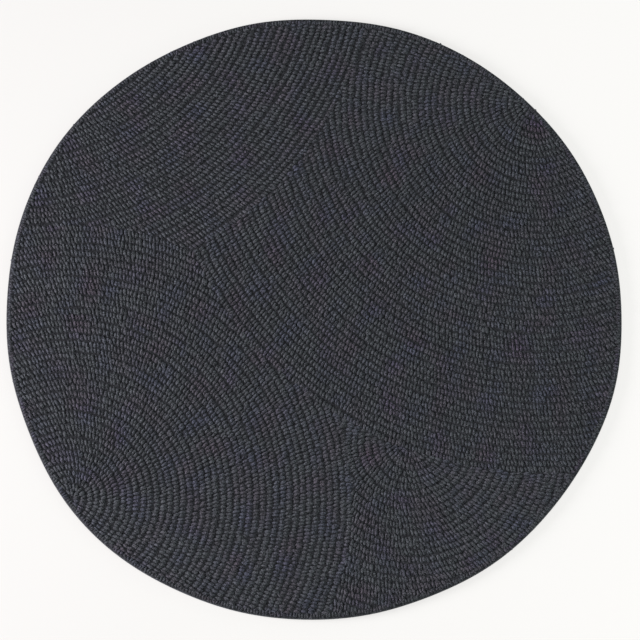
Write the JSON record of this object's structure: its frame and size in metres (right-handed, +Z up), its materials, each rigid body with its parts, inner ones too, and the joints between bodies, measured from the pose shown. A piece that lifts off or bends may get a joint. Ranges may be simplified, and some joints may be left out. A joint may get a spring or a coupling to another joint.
{
  "type": "round hand-tufted wool rug",
  "caption": "Round rug of dark wool loop pile on a cloth back, with its loop rows in arcs that meet in curved seams; lies flat on a floor.",
  "frame": {"origin": "middle of the rug's underside, on the floor", "axes": "+Z up out of the pile, +X to the right and +Y away from a viewer who sees the largest fan of rows on the right"},
  "size_m": [1.1944, 1.1952, 0.015],
  "materials": {
    "wool": "matt looped wool yarn, charcoal with a faint blue cast"
  },
  "bodies": {
    "root": {"rug": "wool"}
  },
  "joints": []
}
